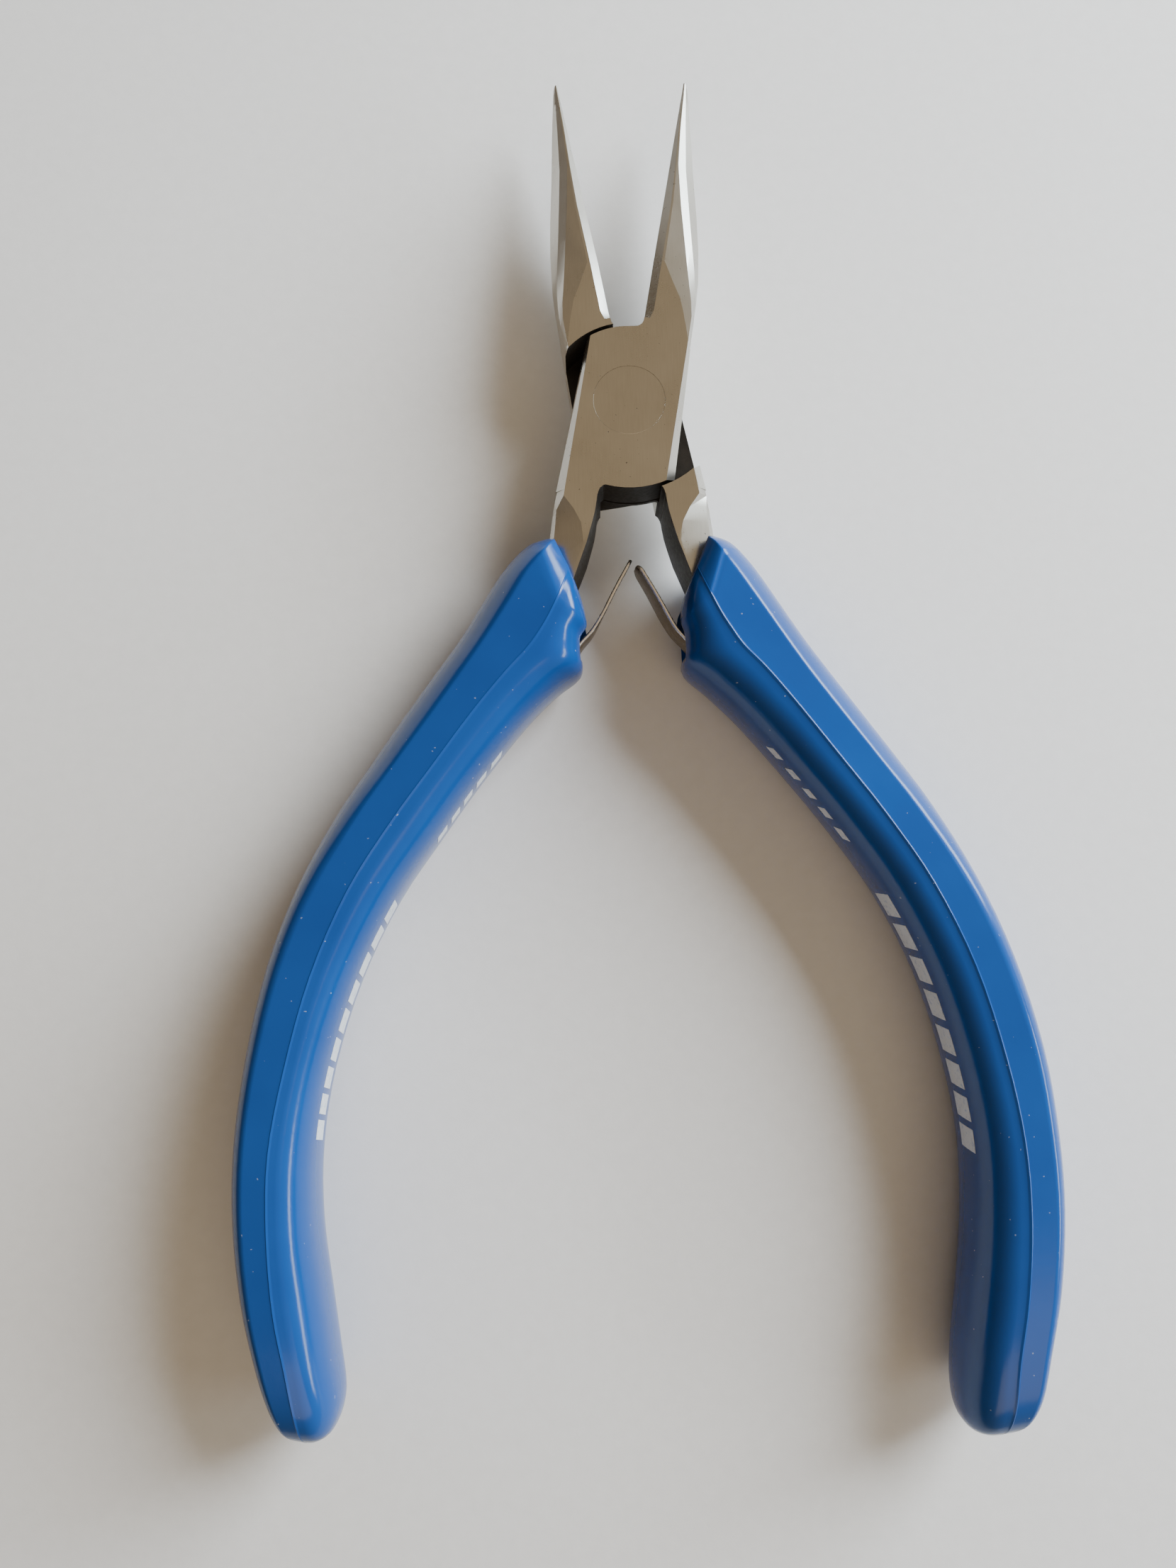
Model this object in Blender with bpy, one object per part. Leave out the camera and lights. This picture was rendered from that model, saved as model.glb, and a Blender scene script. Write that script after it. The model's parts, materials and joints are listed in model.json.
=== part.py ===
"""Spring-opened jewellery pliers: two lapped steel halves on a flush rivet, leaf springs, moulded grips.

World frame, in metres: the tool lies flat with its jaws towards +Y and the floor at z = 0, under the
grips. The origin is the middle of the bounding box's underside. Every outline below is in millimetres
in a half's own frame: the tool closed, the pivot axis at x = y = 0, the lap plane at z = 0, the half's
jaw on the +x side and its tang on the -x side. The two halves are the same forging, one turned over
about the tool's long axis, and each is swung open by half the resting angle.
"""
import math

import bmesh
import bpy
from mathutils import Matrix, Vector

MM = 0.001

# Pose and overall heights
HALF_OPEN = math.radians(10.0)      # each half's swing from closed, at rest
PIVOT_Y = 28.53                     # pivot axis ahead of the middle of the open tool's length
GRIP_HALF_THICKNESS = 6.0
JOINT_HALF_THICKNESS = 4.0

# Lap joint
LAP_GAP = 0.3                       # between the two plates
SHOULDER_GAP = 0.35                 # between a plate's round end and the shoulder it faces
JAW_END_RADIUS = 7.4                # plate's round end on the jaw side
TANG_END_RADIUS = 8.6               # plate's round end on the handle side
PLATE_FACE_HALF_WIDTH = 4.6
PLATE_HALF_WIDTH = 5.15
PLATE_TAPER = 0.03                  # half width gained per mm towards the handles
PLATE_BEVEL_DROP = 1.1
TANG_INNER_X = -1.5                 # tang's inner wall beside the crotch
CROTCH_FILLET = 0.8
RIVET_RADIUS = 3.3
RIVET_CLEARANCE = 0.1
BAR_ENDS = (9.0, -11.0)             # the joint's bar before its ends are cut round
THROAT_RELIEF = 1.7                 # how far the rear half's crotch edge slopes back
THROAT_RELIEF_START = 0.6           # height that the slope starts from
THROAT_RELIEF_SIDES = (-1.15, 6.5)

# Jaws
JAW_FACE_OFFSET = 0.15              # gripping face to the tool's mid-plane
JAW_LENGTH = 36.0
FACET_START_Y = 14.4                # where the top of the jaw starts to fall towards the tip
FACET_FALL = 0.165                  # fall per mm towards the tip
FACET_TILT = 0.27                   # fall per mm away from the gripping face
TIP_HALF_THICKNESS = 0.45
CHAMFER_WIDTH = 0.8                 # along the gripping face's long edges
CHAMFER_RUN_OUT = (6.4, 9.3)        # where it runs out at the joint, and where it is full
CHAMFER_STEEPNESS = 0.8             # chamfer's drop over its width
BEVEL_STEEPNESS = 0.7               # drop over width of the bevel between the top and the steep side
BEVEL_SHARE = 0.48                  # bevel's share of the width between the top and the outermost edge
ROOT_BEVEL_SHARE = 0.9              # the same beside the joint, where the side is upright
SIDE_START_Y = 9.3                  # where the steep side starts to lean in
SIDE_FULL_Y = 16.0

# Leaf springs
LEAF_THICKNESS = 0.3
LEAF_ROOT_HALF_WIDTH = 1.8
LEAF_TIP_HALF_WIDTH = 1.25
LEAF_LEAN = 0.12                    # sideways lean of the leaf, mm per mm of its width
LEAF_SPLIT_GAP = 0.3                # between a foot and its blade
FRONT_BLADE_EXTRA = 0.7             # the front half's blade reaches past the other one
FOOT_RIVET_RADIUS = 0.7
FOOT_RIVET_HEAD_RADIUS = 1.25
FOOT_RIVET_HEAD_HEIGHT = 0.5
FOOT_RIVET_DEPTH = 2.2
FOOT_RIVET_CLEARANCE = 0.2
FOOT_RIVET_SEAT = 0.1               # between the leaf and the head

# Grips
GRIP_CLEARANCE = 0.3                # between a tang and its sleeve
FIRST_SLEEVED_STATION = 4           # tang station where the sleeve's inside is cut from
CHANNEL_HALF_HEIGHT = 2.4

# Jaw stations from the joint to the tip: y, outermost x, x of the bevel's upper edge, x where the flat
# top starts to tilt
JAW_STATIONS = [
    (4.6, 4.5, 4.3, 4.1),
    (5.8, 4.93, 4.57, 4.55),
    (6.8, 4.92, 4.6, 4.58),
    (9.3, 4.88, 4.57, 3.8),
    (10.9, 4.86, 4.3, 3.2),
    (12.4, 4.83, 3.93, 2.3),
    (FACET_START_Y, 4.72, 3.45, 1.2),
    (17.6, 4.3, 2.72, 1.2),
    (21.2, 3.62, 1.9, 1.1),
    (25.9, 2.6, 1.0, 0.85),
    (30.3, 1.72, 0.62, 0.52),
    (33.8, 0.98, 0.42, 0.35),
    (35.6, 0.58, 0.32, 0.27),
    (JAW_LENGTH, 0.42, 0.28, 0.24),
]

# Tang stations from the joint to the end: outer point, inner point, half thickness at the inner edge,
# then the ground facet's fold and the outer edge as (fraction from outer to inner, height)
TANG_STATIONS = [
    ((-5.0, -6.5), (-1.8, -6.5), 4.0, (0.15, 4.0), (0.02, 3.0)),
    ((-5.36, -8.6), (-1.6, -8.6), 4.0, (0.20, 4.0), (0.02, 2.95)),
    ((-5.44, -10.2), (-1.5, -10.2), 4.0, (0.215, 4.0), (0.02, 2.9)),
    ((-5.45, -11.3), (-1.5, -11.3), 4.0, (0.50, 4.0), (0.08, 2.9)),
    ((-5.4, -12.5), (-1.6, -12.5), 4.0, (0.74, 4.0), (0.10, 2.8)),
    ((-5.35, -14.0), (-1.8, -14.3), 3.95, (0.92, 3.9), (0.12, 2.7)),
    ((-6.0, -17.0), (-2.4, -17.5), 3.6, (0.88, 3.5), (0.15, 2.5)),
    ((-7.5, -20.6), (-2.9, -21.2), 3.4, (0.80, 3.4), (0.15, 2.7)),
    ((-9.6, -25.2), (-4.0, -25.6), 3.3, (0.80, 3.3), (0.15, 2.7)),
    ((-11.9, -30.0), (-6.2, -30.2), 3.3, (0.80, 3.3), (0.15, 2.7)),
    ((-14.8, -36.0), (-9.4, -36.2), 3.2, (0.80, 3.2), (0.15, 2.6)),
    ((-18.2, -42.8), (-12.8, -42.8), 3.1, (0.80, 3.1), (0.15, 2.5)),
    ((-20.3, -49.3), (-15.4, -49.3), 3.0, (0.80, 3.0), (0.15, 2.4)),
    ((-21.4, -57.0), (-17.4, -57.0), 3.0, (0.80, 3.0), (0.15, 2.4)),
    ((-21.6, -65.0), (-18.3, -65.0), 3.0, (0.80, 3.0), (0.15, 2.4)),
    ((-21.2, -72.3), (-18.1, -72.0), 3.0, (0.80, 3.0), (0.15, 2.4)),
    ((-20.1, -78.5), (-17.1, -78.3), 2.9, (0.80, 2.9), (0.15, 2.3)),
    ((-18.0, -85.8), (-15.2, -85.6), 2.6, (0.80, 2.6), (0.15, 2.0)),
]

# Grip stations from the mouth to the end: outer point, inner point, half thickness
GRIP_STATIONS = [
    ((-6.6, -14.8), (-1.7, -19.0), 4.9),
    ((-7.3, -15.7), (-1.2, -19.9), 5.7),
    ((-8.6, -17.8), (-0.9, -21.6), GRIP_HALF_THICKNESS),
    ((-10.1, -20.9), (-0.9, -23.6), GRIP_HALF_THICKNESS),
    ((-11.9, -24.9), (-0.4, -25.9), GRIP_HALF_THICKNESS),
    ((-13.6, -28.3), (-1.7, -27.9), GRIP_HALF_THICKNESS),
    ((-15.5, -32.2), (-4.4, -31.6), GRIP_HALF_THICKNESS),
    ((-18.1, -37.7), (-7.8, -37.4), GRIP_HALF_THICKNESS),
    ((-20.3, -42.8), (-10.6, -42.7), GRIP_HALF_THICKNESS),
    ((-22.3, -49.3), (-13.5, -49.3), GRIP_HALF_THICKNESS),
    ((-23.8, -57.0), (-15.8, -57.0), GRIP_HALF_THICKNESS),
    ((-24.3, -65.0), (-16.7, -65.0), GRIP_HALF_THICKNESS),
    ((-23.85, -72.3), (-16.4, -72.0), GRIP_HALF_THICKNESS),
    ((-22.6, -78.6), (-15.2, -78.3), GRIP_HALF_THICKNESS),
    ((-20.7, -84.6), (-13.1, -84.2), GRIP_HALF_THICKNESS),
    ((-18.6, -89.8), (-11.4, -89.6), 5.8),
    ((-17.1, -93.2), (-10.8, -93.0), 5.2),
    ((-15.6, -95.3), (-11.2, -95.1), 4.0),
    ((-14.3, -96.2), (-12.4, -96.1), 2.2),
]

# Grip section, outer edge to inner wall: fraction from outer to inner, fraction of the half thickness
GRIP_SECTION = [
    (0.0, 0.22), (0.04, 0.60), (0.14, 0.88), (0.28, 1.0), (0.52, 1.0), (0.77, 0.88), (0.94, 0.62),
    (1.0, 0.22),
]

# Leaf spring centre line in a half's frame: the foot lies along the tang, the blade springs inwards
FOOT_PATH = [(-7.6, -33.9), (-6.1, -31.0), (-4.65, -28.2), (-3.6, -26.6), (-2.3, -25.1)]
LEAF_ROOT = (-1.45, -24.1)
BLADE_PATH = [(-0.75, -22.9), (0.35, -20.3), (1.45, -17.4), (2.35, -14.9)]
FOOT_RIVET_POINT = (-6.1, -31.0)

# Plan outline of the pocket in a grip that the leaf's foot lies in, open on the inner side
CHANNEL_OUTLINE = [
    (2.0, -12.0), (2.0, -24.55), (-0.9, -25.0), (-2.5, -27.0), (-3.9, -29.0), (-5.3, -32.2),
    (-6.6, -35.0), (-9.2, -35.0), (-6.6, -29.0), (-4.6, -24.0), (-3.4, -19.0), (-3.4, -12.0),
]


def clear_scene():
    """Remove every object that the scene holds."""
    for obj in list(bpy.data.objects):
        bpy.data.objects.remove(obj, do_unlink=True)


def make_material(name, colour, roughness, metallic):
    """Make a Principled material."""
    material = bpy.data.materials.new(name)
    material.use_nodes = True
    shader = material.node_tree.nodes["Principled BSDF"]
    shader.inputs["Base Color"].default_value = (*colour, 1.0)
    shader.inputs["Roughness"].default_value = roughness
    shader.inputs["Metallic"].default_value = metallic
    return material


def make_object(name, mesh_builder):
    """Turn a bmesh whose points are in millimetres into an object."""
    bmesh.ops.recalc_face_normals(mesh_builder, faces=mesh_builder.faces)
    bmesh.ops.scale(mesh_builder, vec=(MM, MM, MM), verts=mesh_builder.verts)
    mesh = bpy.data.meshes.new(name)
    mesh_builder.to_mesh(mesh)
    mesh_builder.free()
    obj = bpy.data.objects.new(name, mesh)
    bpy.context.scene.collection.objects.link(obj)
    return obj


def loft(name, rings):
    """Skin closed rings of equal length, one after another, and cap both ends."""
    builder = bmesh.new()
    loops = [[builder.verts.new(point) for point in ring] for ring in rings]
    count = len(loops[0])
    for lower, upper in zip(loops, loops[1:]):
        for i in range(count):
            j = (i + 1) % count
            builder.faces.new((lower[i], lower[j], upper[j], upper[i]))
    builder.faces.new(loops[0])
    builder.faces.new(loops[-1])
    return make_object(name, builder)


def prism(name, outline, bottom, top):
    """Extrude a plan outline between two heights."""
    return loft(name, [[(x, y, z) for x, y in outline] for z in (bottom, top)])


def cylinder_between(name, start, end, radius, segments=32):
    """Make a cylinder between two points."""
    start = Vector(start)
    direction = (Vector(end) - start).normalized()
    side = direction.orthogonal().normalized()
    other = direction.cross(side)
    rings = []
    for centre in (start, Vector(end)):
        angles = [2.0 * math.pi * i / segments for i in range(segments)]
        rings.append([centre + radius * (math.cos(a) * side + math.sin(a) * other) for a in angles])
    return loft(name, rings)


def combine(target, tool, operation):
    """Apply a Boolean with another object to a target, and remove the other object."""
    modifier = target.modifiers.new(operation.lower(), 'BOOLEAN')
    modifier.operation = operation
    modifier.solver = 'EXACT'
    modifier.object = tool
    bpy.context.view_layer.update()
    graph = bpy.context.evaluated_depsgraph_get()
    mesh = bpy.data.meshes.new_from_object(target.evaluated_get(graph))
    target.modifiers.clear()
    target.data = mesh
    mesh.name = target.name
    bpy.data.objects.remove(tool, do_unlink=True)


def arc(radius, start_deg, end_deg, steps, centre=(0.0, 0.0)):
    """Points along an arc, both ends included."""
    angles = [math.radians(start_deg + (end_deg - start_deg) * i / steps) for i in range(steps + 1)]
    return [(centre[0] + radius * math.cos(a), centre[1] + radius * math.sin(a)) for a in angles]


def plate_bar():
    """The joint's straight bar with bevelled long edges, before its ends are cut round."""
    rings = []
    face = PLATE_FACE_HALF_WIDTH
    top = JOINT_HALF_THICKNESS
    low = top - PLATE_BEVEL_DROP
    for y in BAR_ENDS:
        side = PLATE_HALF_WIDTH - PLATE_TAPER * y
        rings.append([(-face, y, top), (-side, y, low), (-side, y, -low), (-face, y, -top),
                      (face, y, -top), (side, y, -low), (side, y, low), (face, y, top)])
    return loft("plate", rings)


def plate_outline():
    """Plan outline that the bar is trimmed to: round ends, with a fillet beside the jaw and the tang."""
    jaw_x = JAW_FACE_OFFSET
    fillet = arc(CROTCH_FILLET, 0.0, -80.0, 5,
                 (jaw_x - CROTCH_FILLET, JAW_END_RADIUS + CROTCH_FILLET))
    jaw_end = arc(JAW_END_RADIUS, 97.0, 150.0, 9)
    tang_x = TANG_INNER_X
    tang_fillet = [(tang_x + 0.02, -9.3), (tang_x + 0.12, -8.95), (tang_x + 0.4, -8.62)]
    tang_end = arc(TANG_END_RADIUS, -96.0, -38.0, 10)
    jaw_side = [(7.0, 6.3), (4.0, 6.5), (0.8, 8.4), (jaw_x, 8.4)]
    tang_side = [(-7.0, 3.0), (-7.0, -9.6), (tang_x, -9.6)]
    return jaw_side + fillet + jaw_end + tang_side + tang_fillet + tang_end + [(7.0, -5.0)]


def jaw_ring(y, outer_x, bevel_x, flat_x):
    """Section of the jaw across its length: gripping face, chamfer, falling top, bevel and side."""
    inner = JAW_FACE_OFFSET
    crown = max(TIP_HALF_THICKNESS, JOINT_HALF_THICKNESS - FACET_FALL * max(0.0, y - FACET_START_Y))
    run_out, full = CHAMFER_RUN_OUT
    chamfer = min(CHAMFER_WIDTH, 0.55 * crown, CHAMFER_WIDTH * (flat_x - inner))
    chamfer *= min(1.0, max(0.1, (y - run_out) / (full - run_out)))
    grown = min(1.0, max(0.0, (y - SIDE_START_Y) / (SIDE_FULL_Y - SIDE_START_Y)))
    share = ROOT_BEVEL_SHARE + (BEVEL_SHARE - ROOT_BEVEL_SHARE) * grown
    side_x = bevel_x + share * (outer_x - bevel_x)
    bevel_z = crown - FACET_TILT * (bevel_x - flat_x)
    drop = PLATE_BEVEL_DROP + (BEVEL_STEEPNESS * (side_x - bevel_x) - PLATE_BEVEL_DROP) * grown
    side_z = bevel_z - min(drop, 0.5 * bevel_z)
    edge_z = min(0.9 * side_z, 1.2 * (1.0 - y / JAW_LENGTH) + 0.15)
    upper = [(inner, crown - CHAMFER_STEEPNESS * chamfer), (inner + chamfer, crown), (flat_x, crown),
             (bevel_x, bevel_z), (side_x, side_z), (outer_x, edge_z)]
    lower = [(x, -z) for x, z in reversed(upper)]
    return [(x, y, z) for x, z in upper + lower]


def jaw():
    """The tapered jaw, from inside the joint to its blunt needle tip."""
    return loft("jaw", [jaw_ring(*station) for station in JAW_STATIONS])


def between(outer, inner, fraction):
    """Plan point part of the way from an outer point to an inner point."""
    return (outer[0] + (inner[0] - outer[0]) * fraction, outer[1] + (inner[1] - outer[1]) * fraction)


def tang_rings(spread=0.0):
    """Sections of the tang, grown on every side by a spread."""
    rings = []
    for outer, inner, inner_z, fold, edge in TANG_STATIONS:
        span = math.dist(outer, inner)
        unit = ((inner[0] - outer[0]) / span, (inner[1] - outer[1]) / span)
        wide_outer = (outer[0] - spread * unit[0], outer[1] - spread * unit[1])
        wide_inner = (inner[0] + spread * unit[0], inner[1] + spread * unit[1])
        upper = [(1.0, inner_z), fold, edge, (0.0, edge[1] - 0.7)]
        lower = [(fraction, -z) for fraction, z in reversed(upper)]
        ring = []
        for fraction, z in upper + lower:
            x, y = between(wide_outer, wide_inner, fraction)
            ring.append((x, y, z + math.copysign(spread, z)))
        rings.append(ring)
    return rings


def tang_cutter():
    """The space that the tang takes in its sleeve, run out past the sleeve's mouth and the tang's end."""
    rings = tang_rings(GRIP_CLEARANCE)[FIRST_SLEEVED_STATION:]
    end = rings[-1]
    rings.append([(x + 0.05, y - GRIP_CLEARANCE, z) for x, y, z in end])
    return loft("tang_space", rings)


def lap_cutter():
    """Half-thickness pocket that the other half's plate lies in, with round shoulders at both ends."""
    jaw_arc = arc(JAW_END_RADIUS + SHOULDER_GAP, 0.0, 180.0, 36)
    tang_arc = arc(TANG_END_RADIUS + SHOULDER_GAP, 180.0, 360.0, 36)
    return prism("lap_space", jaw_arc + tang_arc, -2.0 * JOINT_HALF_THICKNESS, 0.5 * LAP_GAP)


def steel_half(name, throat_relief):
    """One forged half: jaw, lapped plate and tang."""
    half = plate_bar()
    half.name = name
    combine(half, prism("plate_trim", plate_outline(), -9.0, 9.0), 'INTERSECT')
    combine(half, jaw(), 'UNION')
    combine(half, loft("tang", tang_rings()), 'UNION')
    combine(half, lap_cutter(), 'DIFFERENCE')
    reach = 2.0 * JOINT_HALF_THICKNESS
    hole_radius = RIVET_RADIUS + RIVET_CLEARANCE
    combine(half, cylinder_between("rivet_hole", (0, 0, -reach), (0, 0, reach), hole_radius), 'DIFFERENCE')
    if throat_relief > 0.0:
        start = THROAT_RELIEF_START
        top = JOINT_HALF_THICKNESS + 0.5
        past_edge = -TANG_END_RADIUS - 0.6
        slope = [(past_edge, start), (-TANG_END_RADIUS + 0.1, start),
                 (-TANG_END_RADIUS + throat_relief, top), (past_edge, top)]
        wedge = loft("throat_relief", [[(x, y, z) for y, z in slope] for x in THROAT_RELIEF_SIDES])
        combine(half, wedge, 'DIFFERENCE')
    combine(half, foot_rivet_hole(FOOT_RIVET_RADIUS + FOOT_RIVET_CLEARANCE), 'DIFFERENCE')
    return half


def foot_rivet_frame():
    """Where the leaf's rivet sits and the plan direction that points from the tang to the leaf."""
    before = Vector(FOOT_PATH[0])
    after = Vector(FOOT_PATH[2])
    along = (after - before).normalized()
    return Vector((*FOOT_RIVET_POINT, 0.0)), Vector((along.y, -along.x, 0.0))


def foot_rivet_hole(radius):
    """Blind hole in the tang for the leaf's rivet."""
    point, inward = foot_rivet_frame()
    depth = FOOT_RIVET_DEPTH + FOOT_RIVET_CLEARANCE + 1.0
    return cylinder_between("foot_hole", point + inward, point - depth * inward, radius, 16)


def foot_rivet(name):
    """Small rivet that holds a leaf's foot on the tang, with its head on the leaf."""
    point, inward = foot_rivet_frame()
    seat = 0.5 * LEAF_THICKNESS + FOOT_RIVET_SEAT
    head = cylinder_between(name, point + seat * inward,
                            point + (seat + FOOT_RIVET_HEAD_HEIGHT) * inward, FOOT_RIVET_HEAD_RADIUS, 16)
    shank = cylinder_between("shank", point + (seat + 0.2) * inward,
                             point - (FOOT_RIVET_DEPTH + 0.8) * inward, FOOT_RIVET_RADIUS, 16)
    combine(head, shank, 'UNION')
    return head


def strip(name, path, half_widths, leans):
    """A thin strip on edge along a plan path, with a half width and a sideways lean at each point."""
    rings = []
    for i, point in enumerate(path):
        ahead = Vector(path[min(i + 1, len(path) - 1)])
        behind = Vector(path[max(i - 1, 0)])
        along = (ahead - behind).normalized()
        normal = Vector((along.y, -along.x))
        ring = []
        for side, rise in ((-1, -1), (1, -1), (1, 1), (-1, 1)):
            z = rise * half_widths[i]
            offset = side * 0.5 * LEAF_THICKNESS + leans[i] * z
            ring.append((point[0] + offset * normal.x, point[1] + offset * normal.y, z))
        rings.append(ring)
    return loft(name, rings)


def shorten(start, end, gap):
    """Move a start point towards an end point by a gap."""
    direction = (Vector(end) - Vector(start)).normalized()
    return tuple(Vector(start) + gap * direction)


def spring_foot(name):
    """The part of a leaf that lies along the tang, up to where the leaf starts to bend."""
    path = FOOT_PATH + [shorten(LEAF_ROOT, FOOT_PATH[-1], 0.5 * LEAF_SPLIT_GAP)]
    foot = strip(name, path, [LEAF_ROOT_HALF_WIDTH] * len(path), [0.0] * len(path))
    point, inward = foot_rivet_frame()
    radius = FOOT_RIVET_RADIUS + FOOT_RIVET_CLEARANCE
    combine(foot, cylinder_between("leaf_hole", point - inward, point + inward, radius, 16), 'DIFFERENCE')
    return foot


def spring_blade(name, extra):
    """The free part of a leaf, with its origin on the line that it bends about."""
    path = [shorten(LEAF_ROOT, BLADE_PATH[0], 0.5 * LEAF_SPLIT_GAP)] + BLADE_PATH
    path[-1] = shorten(BLADE_PATH[-1], BLADE_PATH[-2], -extra)
    fractions = [i / (len(path) - 1) for i in range(len(path))]
    drop = LEAF_ROOT_HALF_WIDTH - LEAF_TIP_HALF_WIDTH
    blade = strip(name, path, [LEAF_ROOT_HALF_WIDTH - drop * t for t in fractions],
                  [LEAF_LEAN * min(1.0, 2.0 * t) for t in fractions])
    blade.data.transform(Matrix.Translation((-LEAF_ROOT[0] * MM, -LEAF_ROOT[1] * MM, 0.0)))
    return blade


def grip(name):
    """Moulded sleeve round a tang: flat top and underside, rounded outside, open beside the leaf."""
    rings = []
    for outer, inner, half_thickness in GRIP_STATIONS:
        upper = [(*between(outer, inner, u), w * half_thickness) for u, w in GRIP_SECTION]
        lower = [(x, y, -z) for x, y, z in reversed(upper)]
        rings.append(upper + lower)
    sleeve = loft(name, rings)
    combine(sleeve, tang_cutter(), 'DIFFERENCE')
    channel = prism("channel", CHANNEL_OUTLINE, -CHANNEL_HALF_HEIGHT, CHANNEL_HALF_HEIGHT)
    combine(sleeve, channel, 'DIFFERENCE')
    return sleeve


def turn_over(obj):
    """Turn a half's piece over about the tool's long axis, to serve the other half."""
    obj.data.transform(Matrix.Rotation(math.pi, 4, 'Y'))


def place(obj, frame, material):
    """Hang a piece on its half's frame and give it its material."""
    obj.parent = frame
    obj.data.materials.clear()
    obj.data.materials.append(material)


def half_frame(name, angle):
    """Empty on the pivot axis that carries one half."""
    frame = bpy.data.objects.new(name, None)
    frame.location = (0.0, PIVOT_Y * MM, GRIP_HALF_THICKNESS * MM)
    frame.rotation_euler = (0.0, 0.0, angle)
    bpy.context.scene.collection.objects.link(frame)
    return frame


def build():
    """Make every piece and hang it on its half."""
    clear_scene()
    steel = make_material("satin_steel", (0.55, 0.52, 0.46), 0.34, 1.0)
    rivet_steel = make_material("rivet_steel", (0.58, 0.55, 0.48), 0.30, 1.0)
    spring_steel = make_material("spring_steel", (0.62, 0.60, 0.57), 0.24, 1.0)
    blue_grip = make_material("blue_grip", (0.02, 0.17, 0.50), 0.32, 0.0)
    front = half_frame("front_half_axis", -HALF_OPEN)
    rear = half_frame("rear_half_axis", HALF_OPEN)

    for side, frame, half, relief, extra in (("left", front, "front_half", 0.0, FRONT_BLADE_EXTRA),
                                             ("right", rear, "rear_half", THROAT_RELIEF, 0.0)):
        flipped = frame is rear
        pieces = [
            (steel_half(half, relief), steel),
            (grip(side + "_grip"), blue_grip),
            (spring_foot(side + "_spring_foot"), spring_steel),
            (foot_rivet(side + "_spring_rivet"), rivet_steel),
            (spring_blade(side + "_spring_blade", extra), spring_steel),
        ]
        for obj, material in pieces:
            if flipped:
                turn_over(obj)
            place(obj, frame, material)
        blade = pieces[-1][0]
        blade.location = (-LEAF_ROOT[0] * MM if flipped else LEAF_ROOT[0] * MM, LEAF_ROOT[1] * MM, 0.0)

    reach = JOINT_HALF_THICKNESS
    rivet = cylinder_between("pivot_rivet", (0, 0, -reach), (0, 0, reach), RIVET_RADIUS)
    place(rivet, rear, rivet_steel)


build()
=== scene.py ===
"""Looks of the spring-opened jewellery pliers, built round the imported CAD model.

Lengths in the tables are millimetres in a half's own frame: the tool closed, the pivot axis at x = y = 0,
the lap plane at z = 0, the half's jaw on the +x side and its tang on the -x side. The rear half is the
front half turned over, and each half is swung open by half the resting angle.
"""
import json
import math

import bmesh
import bpy
import numpy as np
from mathutils import Matrix, Vector


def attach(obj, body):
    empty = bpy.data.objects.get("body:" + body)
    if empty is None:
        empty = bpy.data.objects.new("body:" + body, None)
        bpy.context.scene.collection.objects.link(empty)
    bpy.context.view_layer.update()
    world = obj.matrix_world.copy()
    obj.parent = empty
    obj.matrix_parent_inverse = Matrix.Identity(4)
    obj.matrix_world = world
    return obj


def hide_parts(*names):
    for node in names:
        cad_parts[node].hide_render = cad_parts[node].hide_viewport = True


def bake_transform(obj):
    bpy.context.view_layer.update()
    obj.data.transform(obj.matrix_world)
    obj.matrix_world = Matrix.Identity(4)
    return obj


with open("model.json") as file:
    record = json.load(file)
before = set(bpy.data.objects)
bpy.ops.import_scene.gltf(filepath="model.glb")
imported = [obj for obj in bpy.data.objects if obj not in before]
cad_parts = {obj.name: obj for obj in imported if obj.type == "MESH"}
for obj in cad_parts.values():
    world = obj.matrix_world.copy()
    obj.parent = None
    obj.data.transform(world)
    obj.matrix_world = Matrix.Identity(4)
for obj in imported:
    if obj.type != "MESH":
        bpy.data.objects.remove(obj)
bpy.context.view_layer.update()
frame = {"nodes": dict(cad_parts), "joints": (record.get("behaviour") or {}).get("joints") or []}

MM = 0.001
HALF_OPEN = math.radians(10.0)
PIVOT = Vector(next(joint["pos_m"] for joint in frame["joints"] if joint["name"] == "pivot"))
AT_PIVOT = Matrix.Translation(PIVOT)
TURNED_OVER = Matrix.Rotation(math.pi, 4, 'Y')
TO_METRES = Matrix.Scale(MM, 4)
HALF_FRAMES = {
    "front": AT_PIVOT @ Matrix.Rotation(-HALF_OPEN, 4, 'Z') @ TO_METRES,
    "rear": AT_PIVOT @ Matrix.Rotation(HALF_OPEN, 4, 'Z') @ TURNED_OVER @ TO_METRES,
}
SIDES = {"front": "left", "rear": "right"}      # the side that each half's grip and leaf are on

# Colours
STEEL_COLOUR = (0.54, 0.522, 0.473)
RIVET_COLOUR = (0.53, 0.512, 0.463)
OXIDE_COLOURS = ((0.006, 0.005, 0.004), (0.018, 0.015, 0.012))
RUBBED_STEEL = (0.22, 0.20, 0.17)
# the strip's long edges: ground steel painted lighter than steel as a painted highlight
STRIP_EDGE_HIGHLIGHT_COLOURS = ((0.84, 0.82, 0.79), (0.93, 0.91, 0.89))
STRIP_COLOURS = ((0.16, 0.135, 0.11), (0.24, 0.21, 0.18))
BLUE_COLOURS = ((0.003, 0.052, 0.225), (0.004, 0.063, 0.262))
DUST_COLOUR = (0.45, 0.50, 0.56)
INK_COLOUR = (0.62, 0.66, 0.70)
WORN_INK_COLOUR = (0.10, 0.22, 0.45)
FLOOR_COLOURS = ((0.77, 0.77, 0.765), (0.80, 0.80, 0.795))

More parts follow.
